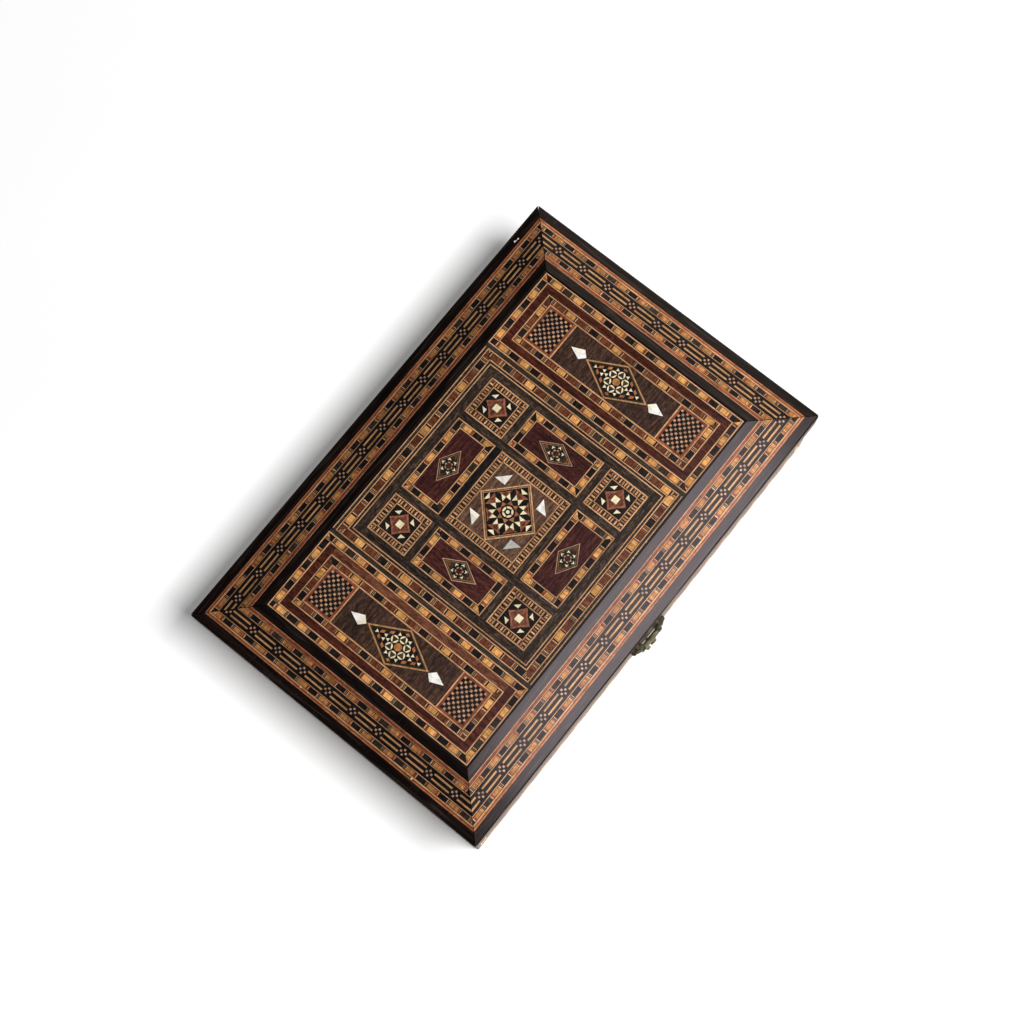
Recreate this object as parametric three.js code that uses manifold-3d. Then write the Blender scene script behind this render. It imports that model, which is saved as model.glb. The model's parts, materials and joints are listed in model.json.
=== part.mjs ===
// A wooden marquetry box: a plain hollow body, a raised lid with an inlaid top,
// two butt hinges at the back and a small hasp at the middle of the front.
// Millimetres. +X runs along the length, the front faces -Y, and +Z is up.
// The origin is the middle of the underside.

import * as THREE from 'three';
import { mergeVertices } from 'three/addons/utils/BufferGeometryUtils.js';
import Module from 'manifold-3d';

const wasm = await Module();
wasm.setup();

// Overall sizes
const lidLength = 280;
const lidWidth = 184.5;
const boxHeight = 65;

// Body
const lidOverhang = 1.7;
const bodyLength = lidLength - 2 * lidOverhang;
const bodyWidth = lidWidth - 2 * lidOverhang;
const wallThickness = 8;
const floorThickness = 6;
const bodyTop = 48;

// Lid, from the rim up; widths are measured inwards from the lid's edge
const partingGap = 0.4;
const lidBottom = bodyTop + partingGap;
const rimTop = 56.6;
const rimThickness = 8;
const lidCorner = 1.6;
const topBoardTop = 59.6;
const railWidth = 5.3;
const railCrown = 61;
const railEdge = 60.2;
const railNose = 0.9;
const bandWidth = 17.2;
const bandHigh = 63.7;
const mouldingWidth = 5.5;
const mouldingCrest = 64.5;
const quirkWidth = 1.1;
const quirkDepth = 0.7;
const mitreGap = 0.15;

const bandOuter = railWidth;
const bandInner = bandOuter + bandWidth;
const panelInset = bandInner + mouldingWidth;
const panelLength = lidLength - 2 * panelInset;
const panelWidth = lidWidth - 2 * panelInset;

// Mother-of-pearl, let in flush with the panel
const pearlThickness = 1.2;
const pocketGap = 0.3;
const kiteX = 88.4;
const kiteTip = 29.2;
const kiteShoulder = 22.4;
const kiteFoot = 19.3;
const kiteHalfWidth = 3.05;
const frontKiteShift = 1.2;
const triangleCorner = 10.1;
const triangleLeg = 6.4;

// Butt hinges
const hingeX = 85;
const hingeAxisOut = 0.35;
const hingeAxisY = bodyWidth / 2 + hingeAxisOut;
const hingeAxisZ = (bodyTop + lidBottom) / 2;
const leafLength = 30;
const leafThickness = 1;
const leafDepth = 7;
const knuckleRadius = 1.8;
const knuckleGap = 0.4;
const hingeBore = 1.05;
const hingePinRadius = 0.8;
const pinHeadRadius = 1.3;
const pinHeadThickness = 0.6;
const mortiseGap = 0.3;

// Hasp, a little off the middle as it was fitted
const haspX = -3.6;
const plateLength = 13;
const plateHeight = 7.2;
const plateThickness = 1;
const plateCorner = 1;
const plateMidZ = 52.5;
const lobeX = 8.2;
const lobeRadius = 3.3;
const lobeRise = 2.4;
const tipX = 11.2;
const tipRadius = 1.6;
const tipRise = 1.5;
const barrelRadius = 1.5;
const barrelClearance = 0.3;
const haspBore = 0.85;
const haspPinRadius = 0.6;
const haspAxisY = -(lidWidth / 2 + plateThickness + barrelRadius + barrelClearance);
const haspAxisZ = 50.2;
const tongueWidth = 10.4;
const tongueThickness = 1.2;
const tongueDrop = 11;
const tongueCurl = 1.6;
const tongueCorner = 5;
const notchWidth = 2.3;
const notchTop = 6.8;
const lugWidth = 2;
const lugGap = 0.3;
const haspPinHalf = tongueWidth / 2 + lugGap + lugWidth;
const keeperWidth = 9;
const keeperHeight = 8;
const keeperThickness = 1;
const keeperCorner = 2;
const studRadius = 0.75;
const studDrop = 8.6;
const studLength = 5.6;

// Faces round a circle
const arcSteps = 8;
const roundSteps = 24;

// Corners nearer than this are one corner
const weldDistance = 1e-5;

const finishes = {
  walnut: { color: 0x2b1c15, roughness: 0.5, metalness: 0 },
  ebonised: { color: 0x17120f, roughness: 0.4, metalness: 0 },
  marquetry: { color: 0x7a4f2c, roughness: 0.4, metalness: 0 },
  pearl: { color: 0xe6e8e2, roughness: 0.2, metalness: 0 },
  brass: { color: 0x8a7440, roughness: 0.4, metalness: 1 },
};

const box = new THREE.Group();
const lid = new THREE.Group();
box.add(lid);

function addMesh(group, name, geometry, finish, turn = 0) {
  const mesh = new THREE.Mesh(geometry, new THREE.MeshStandardMaterial(finishes[finish]));
  mesh.name = name;
  mesh.rotation.z = turn;
  group.add(mesh);
  return mesh;
}

function toSolid(geometry) {
  const bare = geometry.clone();
  bare.deleteAttribute('normal');
  bare.deleteAttribute('uv');
  const merged = mergeVertices(bare, weldDistance);
  const mesh = new wasm.Mesh({
    numProp: 3,
    vertProperties: Float32Array.from(merged.attributes.position.array),
    triVerts: Uint32Array.from(merged.index.array),
  });
  return new wasm.Manifold(mesh);
}

function toGeometry(solid) {
  const mesh = solid.getMesh();
  const geometry = new THREE.BufferGeometry();
  geometry.setAttribute('position', new THREE.BufferAttribute(mesh.vertProperties, 3));
  geometry.setIndex(new THREE.BufferAttribute(mesh.triVerts, 1));
  geometry.computeVertexNormals();
  return geometry;
}

// A block between two opposite corners
function block(low, high) {
  const size = high.map((value, axis) => value - low[axis]);
  const middle = high.map((value, axis) => (value + low[axis]) / 2);
  return new THREE.BoxGeometry(...size).translate(...middle);
}

// A round bar along X, from one x to another
function barAlongX(radius, fromX, toX, y, z) {
  const bar = new THREE.CylinderGeometry(radius, radius, toX - fromX, roundSteps);
  return bar.rotateZ(-Math.PI / 2).translate((fromX + toX) / 2, y, z);
}

// A round bar along Y, from one y out to another
function barAlongY(radius, backY, frontY, x, z) {
  const bar = new THREE.CylinderGeometry(radius, radius, backY - frontY, roundSteps);
  return bar.translate(x, (backY + frontY) / 2, z);
}

// A pin along X with a head at each end
function headedPin(radius, half, y, z) {
  let pin = toSolid(barAlongX(radius, -half, half, y, z));
  for (const x of [-half - pinHeadThickness, half]) {
    pin = pin.add(toSolid(barAlongX(pinHeadRadius, x, x + pinHeadThickness, y, z)));
  }
  return toGeometry(pin);
}

// A rectangle in section: inset across, height up
function boardProfile(inner, low, high) {
  const shape = new THREE.Shape();
  shape.moveTo(0, low);
  shape.lineTo(inner, low);
  shape.lineTo(inner, high);
  shape.lineTo(0, high);
  return shape;
}

// A shallow slope with a rounded outer edge
function railProfile() {
  const slope = (railCrown - railEdge) / (railWidth - railNose);
  const arris = railEdge - railNose * slope;
  const shape = new THREE.Shape();
  shape.moveTo(0, rimTop);
  shape.lineTo(railWidth, rimTop);
  shape.lineTo(railWidth, railCrown);
  shape.lineTo(railNose, railEdge);
  shape.quadraticCurveTo(0, arris, 0, arris - railNose);
  return shape;
}

function bandProfile() {
  const shape = new THREE.Shape();
  shape.moveTo(bandOuter, topBoardTop);
  shape.lineTo(bandInner, topBoardTop);
  shape.lineTo(bandInner, bandHigh);
  shape.lineTo(bandOuter, railCrown);
  return shape;
}

// A slope that rises to a crest, then a quirk beside the panel
function mouldingProfile() {
  const crestInset = panelInset - quirkWidth;
  const shape = new THREE.Shape();
  shape.moveTo(bandInner, topBoardTop);
  shape.lineTo(panelInset, topBoardTop);
  shape.lineTo(panelInset, mouldingCrest - quirkDepth);
  shape.lineTo(crestInset, mouldingCrest - quirkDepth);
  shape.lineTo(crestInset, mouldingCrest);
  shape.lineTo(bandInner, bandHigh);
  return shape;
}

// A strip along the front edge with its ends cut back to 45 degrees
function mitredStrip(profile, span, reach) {
  const options = { depth: 1, bevelEnabled: false, curveSegments: arcSteps };
  const strip = new THREE.ExtrudeGeometry(profile, options);
  const corner = strip.attributes.position;
  for (let i = 0; i < corner.count; i += 1) {
    const inset = corner.getX(i);
    const height = corner.getY(i);
    const end = corner.getZ(i) > 0.5 ? 1 : -1;
    corner.setXYZ(i, end * (span / 2 - inset - mitreGap), inset - reach, height);
  }
  strip.computeVertexNormals();
  return strip;
}

const sides = [
  { name: 'front', turn: 0, long: true },
  { name: 'right', turn: Math.PI / 2, long: false },
  { name: 'back', turn: Math.PI, long: true },
  { name: 'left', turn: -Math.PI / 2, long: false },
];

function sideStrip(side, profile, length, width) {
  return side.long ? mitredStrip(profile, length, width / 2) : mitredStrip(profile, width, length / 2);
}

// Rounds the two outer corners of a strip of the lid
function roundCorners(side, strip) {
  const span = side.long ? lidLength : lidWidth;
  const reach = (side.long ? lidWidth : lidLength) / 2;
  const y = lidCorner - reach;
  let solid = toSolid(strip);
  for (const end of [-1, 1]) {
    const near = end * (span / 2 - lidCorner);
    const far = end * (span / 2 + lidCorner);
    const from = [Math.min(near, far), -reach - lidCorner, 0];
    const corner = toSolid(block(from, [Math.max(near, far), y, boxHeight]));
    const post = new THREE.CylinderGeometry(lidCorner, lidCorner, 2 * boxHeight, roundSteps);
    solid = solid.subtract(corner.subtract(toSolid(post.rotateX(Math.PI / 2).translate(near, y, 0))));
  }
  return toGeometry(solid);
}

// Room for the hinges in a back board, which is drawn along the front and then turned round:
// a mortise for each leaf, and a notch for its knuckles
function cutForHinges(board, leafLow, leafHigh, notchLow, notchHigh) {
  let solid = toSolid(board);
  const half = leafLength / 2 + mortiseGap;
  const outside = -lidWidth;
  for (const x of [-hingeX, hingeX]) {
    const leafInner = leafDepth + mortiseGap - hingeAxisY;
    const notchInner = knuckleRadius + mortiseGap - hingeAxisY;
    solid = solid.subtract(toSolid(block([x - half, outside, leafLow], [x + half, leafInner, leafHigh])));
    const notchFrom = [x - half - pinHeadThickness, outside, notchLow];
    const notchTo = [x + half + pinHeadThickness, notchInner, notchHigh];
    solid = solid.subtract(toSolid(block(notchFrom, notchTo)));
  }
  return toGeometry(solid);
}

function addBody() {
  const wall = boardProfile(wallThickness, 0, bodyTop);
  for (const side of sides) {
    let board = sideStrip(side, wall, bodyLength, bodyWidth);
    if (side.name === 'back') {
      const notchLow = hingeAxisZ - knuckleRadius - mortiseGap;
      board = cutForHinges(board, bodyTop - leafThickness, boxHeight, notchLow, boxHeight);
    }
    addMesh(box, `wall_${side.name}`, board, 'walnut', side.turn);
  }
  const floorX = bodyLength / 2 - wallThickness;
  const floorY = bodyWidth / 2 - wallThickness;
  addMesh(box, 'floor_board', block([-floorX, -floorY, 0], [floorX, floorY, floorThickness]), 'walnut');
}

function addLid() {
  const rim = boardProfile(rimThickness, lidBottom, rimTop);
  for (const side of sides) {
    let board = roundCorners(side, sideStrip(side, rim, lidLength, lidWidth));
    if (side.name === 'back') {
      const notchHigh = hingeAxisZ + knuckleRadius + mortiseGap;
      board = cutForHinges(board, 0, lidBottom + leafThickness, 0, notchHigh);
    }
    addMesh(lid, `lid_rim_${side.name}`, board, 'walnut', side.turn);
    const strip = (profile) => sideStrip(side, profile, lidLength, lidWidth);
    addMesh(lid, `lid_rail_${side.name}`, roundCorners(side, strip(railProfile())), 'ebonised', side.turn);
    addMesh(lid, `lid_band_${side.name}`, strip(bandProfile()), 'marquetry', side.turn);
    addMesh(lid, `lid_moulding_${side.name}`, strip(mouldingProfile()), 'ebonised', side.turn);
  }
  const boardX = lidLength / 2 - railWidth;
  const boardY = lidWidth / 2 - railWidth;
  const topBoard = block([-boardX, -boardY, rimTop], [boardX, boardY, topBoardTop]);
  addMesh(lid, 'lid_top_board', topBoard, 'walnut');
}

// Outlines of the pearl pieces of one quarter; grow widens them for their pockets.
// The two kites at the front lie a little farther from the middle.
function kiteOutline(alongX, alongY, grow) {
  const x = alongX * kiteX;
  const half = kiteHalfWidth + grow;
  const shift = alongY < 0 ? frontKiteShift : 0;
  return [
    [x, alongY * (kiteTip + shift + 2 * grow)],
    [x - half, alongY * (kiteShoulder + shift)],
    [x, alongY * (kiteFoot + shift - grow)],
    [x + half, alongY * (kiteShoulder + shift)],
  ];
}

function triangleOutline(alongX, alongY, grow) {
  const near = triangleCorner - grow;
  const far = triangleCorner + triangleLeg + 2 * grow;
  return [
    [alongX * near, alongY * near],
    [alongX * far, alongY * near],
    [alongX * near, alongY * far],
  ];
}

function pearlPlate(outline, low, high) {
  const shape = new THREE.Shape(outline.map(([x, y]) => new THREE.Vector2(x, y)));
  const plate = new THREE.ExtrudeGeometry(shape, { depth: high - low, bevelEnabled: false });
  return plate.translate(0, 0, low);
}

function addPanel() {
  const halfX = panelLength / 2;
  const halfY = panelWidth / 2;
  const pearlLow = boxHeight - pearlThickness;
  let panel = toSolid(block([-halfX, -halfY, topBoardTop], [halfX, halfY, boxHeight]));
  for (const [endName, alongX] of [['left', -1], ['right', 1]]) {
    for (const [sideName, alongY] of [['front', -1], ['back', 1]]) {
      for (const [name, outline] of [['kite', kiteOutline], ['triangle', triangleOutline]]) {
        const pocket = pearlPlate(outline(alongX, alongY, pocketGap), pearlLow, boxHeight + pearlThickness);
        panel = panel.subtract(toSolid(pocket));
        const inlay = pearlPlate(outline(alongX, alongY, 0), pearlLow, boxHeight);
        addMesh(lid, `pearl_${name}_${endName}_${sideName}`, inlay, 'pearl');
      }
    }
  }
  addMesh(lid, 'lid_panel', toGeometry(panel), 'marquetry');
}

// A leaf lies in the parting plane; its knuckles wrap the pin
function hingeLeaf(low, high, spans) {
  const half = leafLength / 2;
  const innerY = hingeAxisY - leafDepth;
  let leaf = toSolid(block([-half, innerY, low], [half, hingeAxisY - knuckleRadius, high]));
  for (const [fromX, toX] of spans) {
    leaf = leaf.add(toSolid(block([fromX, innerY, low], [toX, hingeAxisY, high])));
    leaf = leaf.add(toSolid(barAlongX(knuckleRadius, fromX, toX, hingeAxisY, hingeAxisZ)));
  }
  return leaf.subtract(toSolid(barAlongX(hingeBore, -leafLength, leafLength, hingeAxisY, hingeAxisZ)));
}

function addHinges() {
  const half = leafLength / 2;
  const third = leafLength / 6;
  const middle = [[-third, third]];
  const ends = [[-half, -third - knuckleGap], [third + knuckleGap, half]];
  const bodyLeaf = hingeLeaf(bodyTop - leafThickness, bodyTop, ends);
  const lidLeaf = hingeLeaf(lidBottom, lidBottom + leafThickness, middle);
  const pin = headedPin(hingePinRadius, half, hingeAxisY, hingeAxisZ);
  for (const [name, x] of [['left', -hingeX], ['right', hingeX]]) {
    addMesh(box, `hinge_${name}_body_leaf`, toGeometry(bodyLeaf), 'brass').position.x = x;
    addMesh(box, `hinge_${name}_pin`, pin, 'brass').position.x = x;
    addMesh(lid, `hinge_${name}_lid_leaf`, toGeometry(lidLeaf), 'brass').position.x = x;
  }
}

// A domed boss standing out towards the front
function boss(radius, rise, x, y, z) {
  const profile = [new THREE.Vector2(0, 0)];
  for (let step = 0; step <= arcSteps; step += 1) {
    const angle = (step / arcSteps) * (Math.PI / 2);
    profile.push(new THREE.Vector2(radius * Math.cos(angle), rise * Math.sin(angle)));
  }
  profile[profile.length - 1].x = 0;
  return new THREE.LatheGeometry(profile, roundSteps).rotateX(Math.PI).translate(x, y, z);
}

// A flat plate on a front face, from backY out to frontY, with rounded corners
function frontPlate(width, height, radius, backY, frontY, z) {
  const halfX = width / 2 - radius;
  const halfZ = height / 2 - radius;
  const shape = new THREE.Shape();
  shape.absarc(halfX, halfZ, radius, 0, Math.PI / 2, false);
  shape.absarc(-halfX, halfZ, radius, Math.PI / 2, Math.PI, false);
  shape.absarc(-halfX, -halfZ, radius, Math.PI, Math.PI * 1.5, false);
  shape.absarc(halfX, -halfZ, radius, Math.PI * 1.5, Math.PI * 2, false);
  const options = { depth: backY - frontY, bevelEnabled: false, curveSegments: arcSteps / 2 };
  return new THREE.ExtrudeGeometry(shape, options).rotateX(Math.PI / 2).translate(0, backY, z);
}

function haspPlate() {
  const backY = -lidWidth / 2;
  const frontY = backY - plateThickness;
  let plate = toSolid(frontPlate(plateLength, plateHeight, plateCorner, backY, frontY, plateMidZ));
  for (const side of [-1, 1]) {
    for (const [x, radius, rise] of [[lobeX, lobeRadius, lobeRise], [tipX, tipRadius, tipRise]]) {
      plate = plate.add(toSolid(barAlongY(radius, backY, frontY, side * x, plateMidZ)));
      plate = plate.add(toSolid(boss(radius, rise, side * x, frontY, plateMidZ)));
    }
    const lugInner = tongueWidth / 2 + lugGap;
    const lugFrom = side > 0 ? lugInner : -lugInner - lugWidth;
    const lugTo = lugFrom + lugWidth;
    const lugRoot = block([lugFrom, haspAxisY, haspAxisZ - barrelRadius],
      [lugTo, frontY + plateThickness / 2, haspAxisZ + barrelRadius]);
    plate = plate.add(toSolid(lugRoot));
    plate = plate.add(toSolid(barAlongX(barrelRadius, lugFrom, lugTo, haspAxisY, haspAxisZ)));
  }
  const headRoom = haspPinHalf + pinHeadThickness + mortiseGap;
  for (const [fromX, toX] of [[-headRoom, -haspPinHalf], [haspPinHalf, headRoom]]) {
    const recess = barAlongX(pinHeadRadius + mortiseGap, fromX, toX, haspAxisY, haspAxisZ);
    plate = plate.subtract(toSolid(recess));
  }
  const bore = barAlongX(haspBore, -headRoom, headRoom, haspAxisY, haspAxisZ);
  return toGeometry(plate.subtract(toSolid(bore)));
}

// The tongue in section: straight down from its barrel, then curled out for a finger
function tongueProfile() {
  const half = tongueThickness / 2;
  const low = -tongueDrop;
  const shape = new THREE.Shape();
  shape.moveTo(half, 0);
  shape.lineTo(-half, 0);
  shape.lineTo(-half, low);
  shape.quadraticCurveTo(-half, low - half, -half - tongueCurl, low - tongueCurl + half);
  shape.lineTo(-half - tongueCurl, low - tongueCurl - half);
  shape.quadraticCurveTo(half, low - tongueCurl, half, low);
  return shape;
}

function haspTongue() {
  const half = tongueWidth / 2;
  const options = { depth: tongueWidth, bevelEnabled: false, curveSegments: arcSteps };
  const turned = new THREE.ExtrudeGeometry(tongueProfile(), options);
  const corner = turned.attributes.position;
  for (let i = 0; i < corner.count; i += 1) {
    corner.setXYZ(i, corner.getZ(i) - half, haspAxisY + corner.getX(i), haspAxisZ + corner.getY(i));
  }
  const length = tongueDrop + tongueCurl + tongueThickness + 2 * tongueCorner;
  const backY = haspAxisY + tongueThickness;
  const frontY = haspAxisY - tongueCurl - 2 * tongueThickness;
  const lowest = haspAxisZ - tongueDrop - tongueCurl - tongueThickness / 2;
  const outline = frontPlate(tongueWidth, length, tongueCorner, backY, frontY, lowest + length / 2);
  const notchZ = haspAxisZ - notchTop;
  const notch = block([-notchWidth / 2, frontY, lowest - tongueCorner], [notchWidth / 2, backY, notchZ]);
  let tongue = toSolid(turned).intersect(toSolid(outline)).subtract(toSolid(notch));
  tongue = tongue.add(toSolid(barAlongX(barrelRadius, -half, half, haspAxisY, haspAxisZ)));
  const bore = barAlongX(haspBore, -tongueWidth, tongueWidth, haspAxisY, haspAxisZ);
  return toGeometry(tongue.subtract(toSolid(bore)));
}

function haspKeeper() {
  const backY = -bodyWidth / 2;
  const frontY = backY - keeperThickness;
  const studZ = haspAxisZ - studDrop;
  const plate = frontPlate(keeperWidth, keeperHeight, keeperCorner, backY, frontY, studZ);
  const stud = barAlongY(studRadius, backY - keeperThickness / 2, frontY - studLength, 0, studZ);
  return toGeometry(toSolid(plate).add(toSolid(stud)));
}

function addHasp() {
  const pin = headedPin(haspPinRadius, haspPinHalf, haspAxisY, haspAxisZ);
  addMesh(lid, 'clasp_plate', haspPlate(), 'brass').position.x = haspX;
  addMesh(lid, 'clasp_pin', pin, 'brass').position.x = haspX;
  addMesh(lid, 'clasp_tongue', haspTongue(), 'brass').position.x = haspX;
  addMesh(box, 'clasp_keeper', haspKeeper(), 'brass').position.x = haspX;
}

addBody();
addLid();
addPanel();
addHinges();
addHasp();

export default box;
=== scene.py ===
import json
import math
import random
import bmesh
import bpy
from mathutils import Matrix, Vector

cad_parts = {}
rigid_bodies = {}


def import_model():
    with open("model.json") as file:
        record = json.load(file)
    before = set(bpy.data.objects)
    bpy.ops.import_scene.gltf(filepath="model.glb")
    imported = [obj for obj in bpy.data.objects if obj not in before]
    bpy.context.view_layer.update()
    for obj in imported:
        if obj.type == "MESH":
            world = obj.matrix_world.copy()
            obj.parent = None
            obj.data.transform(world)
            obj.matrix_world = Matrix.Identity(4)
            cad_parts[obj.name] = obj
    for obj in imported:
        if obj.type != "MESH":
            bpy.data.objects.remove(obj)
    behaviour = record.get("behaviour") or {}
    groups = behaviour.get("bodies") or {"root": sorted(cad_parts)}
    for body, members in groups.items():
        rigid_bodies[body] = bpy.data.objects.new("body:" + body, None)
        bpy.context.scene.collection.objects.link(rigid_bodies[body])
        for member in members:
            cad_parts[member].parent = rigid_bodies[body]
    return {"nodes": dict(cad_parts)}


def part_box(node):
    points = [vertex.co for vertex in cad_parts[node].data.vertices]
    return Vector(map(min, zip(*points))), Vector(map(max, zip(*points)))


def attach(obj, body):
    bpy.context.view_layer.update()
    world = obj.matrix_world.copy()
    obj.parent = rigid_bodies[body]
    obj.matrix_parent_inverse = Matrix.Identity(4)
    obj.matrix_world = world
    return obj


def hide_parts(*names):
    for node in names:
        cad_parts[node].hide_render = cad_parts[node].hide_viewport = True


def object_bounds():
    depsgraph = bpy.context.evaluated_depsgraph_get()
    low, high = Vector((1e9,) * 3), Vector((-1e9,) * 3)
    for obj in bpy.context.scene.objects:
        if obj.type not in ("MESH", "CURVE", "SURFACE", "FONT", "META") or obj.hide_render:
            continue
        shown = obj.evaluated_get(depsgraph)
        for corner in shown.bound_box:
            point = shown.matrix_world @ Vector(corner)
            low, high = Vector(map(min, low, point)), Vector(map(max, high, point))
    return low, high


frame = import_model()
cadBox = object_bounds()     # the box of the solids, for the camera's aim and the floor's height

mm = 0.001
quarterTurn = math.pi / 2
print("frame loaded:", len(frame["nodes"]), "solids")


def linear(red, green, blue):  # a colour as the eye reads it, 0 to 255, made linear for the shader
    tones = [value / 255 for value in (red, green, blue)]
    bright = [t / 12.92 if t <= 0.04045 else ((t + 0.055) / 1.055) ** 2.4 for t in tones]
    return (*bright, 1.0)


# Node trees

class Wire:  # one socket of a node tree, with arithmetic
    def __init__(self, trees, socket):
        self.trees = trees
        self.socket = socket

    def sum(self, operation, first, second):
        return self.trees.add("ShaderNodeMath", {"operation": operation}, {0: first, 1: second})

    def __add__(self, other):
        return self.sum("ADD", self, other)

    def __radd__(self, other):
        return self.sum("ADD", other, self)

    def __sub__(self, other):
        return self.sum("SUBTRACT", self, other)

    def __rsub__(self, other):
        return self.sum("SUBTRACT", other, self)

    def __mul__(self, other):
        return self.sum("MULTIPLY", self, other)

    def __rmul__(self, other):
        return self.sum("MULTIPLY", other, self)


class Trees:  # adds nodes to one tree
    def __init__(self, tree):
        self.tree = tree

    def add(self, kind, settings=None, inputs=None, output=0):
        node = self.tree.nodes.new(kind)
        for key, value in (settings or {}).items():
            if key == "stops":
                self.setStops(node.color_ramp, value)
            else:
                setattr(node, key, value)
        for key, value in (inputs or {}).items():
            if isinstance(value, Wire):
                self.tree.links.new(value.socket, node.inputs[key])
            else:
                node.inputs[key].default_value = value
        return Wire(self, node.outputs[output]) if len(node.outputs) else node

    def setStops(self, ramp, stops):
        while len(ramp.elements) < len(stops):
            ramp.elements.new(1.0)
        for element, (place, colour) in zip(ramp.elements, stops):
            element.position = place
            element.color = colour

    def mixColour(self, factor, first, second, blend="MIX"):
        settings = {"data_type": "RGBA", "blend_type": blend}
        return self.add("ShaderNodeMix", settings, {0: factor, 6: first, 7: second}, 2)

    def scale(self, colour, amount):
        return self.add("ShaderNodeVectorMath", {"operation": "SCALE"}, {0: colour, "Scale": amount})

    def vectors(self, operation, first, second):
        return self.add("ShaderNodeVectorMath", {"operation": operation}, {0: first, 1: second})

    def place(self):  # object coordinates
        return self.add("ShaderNodeTexCoord", {}, {}, 3)

    def ramp(self, value, stops):  # stops: places and tones
        stops = [(at, linear(*tone)) for at, tone in stops]
        return self.add("ShaderNodeValToRGB", {"stops": stops}, {"Fac": value})

    def spread(self, coords, scale, detail=3.0, turn=(0, 0, 0), shift=(0, 0, 0), distortion=0.0):
        scale = scale if isinstance(scale, tuple) else (scale, scale, scale)
        mapped = self.add("ShaderNodeMapping", {}, {"Vector": coords, "Scale": scale, "Rotation": turn,
                                                     "Location": shift})
        return self.add("ShaderNodeTexNoise", {}, {"Vector": mapped, "Scale": 1.0, "Detail": detail,
                                                    "Distortion": distortion})

    def band(self, value, low, high, outLow=0.0, outHigh=1.0):
        return self.add("ShaderNodeMapRange", {}, {"Value": value, "From Min": low, "From Max": high,
                                                    "To Min": outLow, "To Max": outHigh})


def newMaterial(name, sheen):
    material = bpy.data.materials.new(name)
    material.use_nodes = True
    trees = Trees(material.node_tree)
    shader = material.node_tree.nodes["Principled BSDF"]
    for key, value in sheen.items():
        shader.inputs[key].default_value = value
    return material, trees, shader


def feed(trees, shader, **wires):
    for key, wire in wires.items():
        trees.tree.links.new(wire.socket, shader.inputs[key.replace("_", " ")])


# Woods: pale, middle and dark tone, how much the pores show, and how much each stick differs from the next

def newWood(pale, middle, dark, pores, vary=0.0, coat=0.3, mottled=0.75, scuff=0.0):
    return {"pale": pale, "middle": middle, "dark": dark, "pores": pores, "vary": vary, "coat": coat,
            "mottled": mottled, "scuff": scuff}


woods = {
    "ebony": newWood((46, 42, 41), (24, 21, 21), (9, 8, 8), 0.4, 0.5, 0.22),
    "walnut": newWood((108, 80, 64), (64, 46, 37), (30, 20, 16), 0.7, 0.25),
    "rosewood": newWood((106, 54, 38), (64, 30, 20), (28, 11, 7), 0.6, 0.25),
    "plumwood": newWood((100, 56, 48), (62, 30, 27), (30, 13, 12), 0.6, 0.25),
    "padauk": newWood((170, 98, 68), (134, 70, 47), (84, 38, 25), 0.4, 0.3),
    "russet": newWood((170, 111, 82), (138, 85, 62), (90, 51, 36), 0.5, 0.35),
    "cherry": newWood((138, 86, 58), (98, 55, 36), (54, 27, 17), 0.6, 0.4),
    "bogoak": newWood((70, 64, 53), (48, 43, 36), (24, 21, 17), 0.5, 0.4, 0.22),
    "smoked": newWood((100, 83, 69), (49, 40, 33), (21, 16, 13), 0.7, 0.2, 0.22),
    "umber": newWood((138, 108, 86), (92, 69, 54), (45, 31, 24), 0.6, 0.25),
    "brownwood": newWood((152, 99, 74), (106, 63, 46), (60, 32, 23), 0.6, 0.25),
    "lemonwood": newWood((244, 192, 120), (212, 154, 85), (156, 101, 52), 0.3, 0.4),
    # honey: lemonwood made darker; on the sloping border band this is painted shade, at the rosette hub it is
    # the hub's own colour
    "honey": newWood((216, 154, 92), (176, 118, 64), (118, 72, 36), 0.3, 0.4),
    "maple": newWood((228, 184, 138), (200, 154, 110), (146, 102, 66), 0.3, 0.3),
    "ash": newWood((186, 150, 110), (160, 124, 86), (114, 82, 54), 0.3, 0.4),
    "limewood": newWood((210, 166, 116), (186, 142, 94), (138, 98, 60), 0.3, 0.25),
    "sycamore": newWood((210, 173, 143), (184, 146, 118), (132, 99, 77), 0.3, 0.3),
    "olive": newWood((88, 78, 48), (60, 52, 32), (32, 28, 17), 0.4, 0.4),
    "apricot": newWood((210, 144, 96), (178, 112, 70), (128, 74, 44), 0.4, 0.35),
    "bone": newWood((254, 247, 214), (246, 236, 194), (216, 201, 152), 0.1, 0.12),
}
woodOrder = list(woods)
woodGrain = {"streak": (0.05, 0.75, 0.75), "mottle": (0.3, 0.8, 0.8), "pores": (0.4, 5.0, 5.0), "rough": 0.46,
             "dent": 0.02 * mm}  # the first three: scales along and across each stick
varnish = {"Specular IOR Level": 0.08, "Coat Roughness": 0.16}


def woodColour(trees, coords, wood):
    streak = trees.spread(coords, woodGrain["streak"], 4.0, distortion=0.6)
    mottle = trees.spread(coords, woodGrain["mottle"], 4.0, shift=(3, 8, 5), distortion=1.2)
    streak = streak * (1.4 - wood["mottled"]) + mottle * wood["mottled"] - 0.2
    pores = trees.band(trees.spread(coords, woodGrain["pores"], 2.0), 0.56, 0.7)
    colour = trees.ramp(streak, [(0.28, wood["dark"]), (0.5, wood["middle"]), (0.74, wood["pale"])])
    colour = trees.mixColour(pores * wood["pores"], colour, linear(*wood["dark"]))
    return colour, streak, pores


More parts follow.
